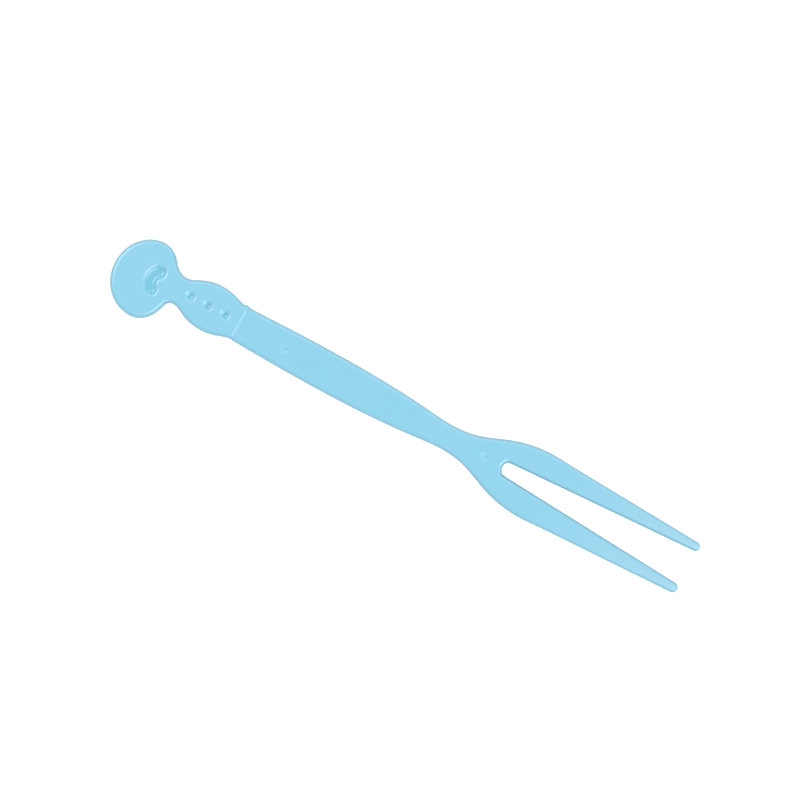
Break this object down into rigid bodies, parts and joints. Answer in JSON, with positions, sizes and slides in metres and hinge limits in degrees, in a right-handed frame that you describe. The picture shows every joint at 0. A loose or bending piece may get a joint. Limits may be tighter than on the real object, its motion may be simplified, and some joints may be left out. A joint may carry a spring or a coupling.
{
  "type": "fruit fork",
  "caption": "Slim flat moulded plastic fork with long tapering tines, a waisted handle and a rounded head with a kidney-shaped recess above a dimpled torso, for picking up small food.",
  "frame": {"origin": "on the flat back face, on the centreline, half way along the fork", "axes": "+X along the fork towards the tine tips, +Y across it towards the left tine, +Z out of the front face"},
  "size_m": [0.12, 0.0151, 0.0021],
  "materials": {
    "blue_plastic": "pale blue moulded polystyrene, semi-gloss"
  },
  "bodies": {
    "root": {"head": "blue_plastic", "torso": "blue_plastic", "handle": "blue_plastic", "yoke": "blue_plastic", "left_tine": "blue_plastic", "right_tine": "blue_plastic"}
  },
  "joints": []
}
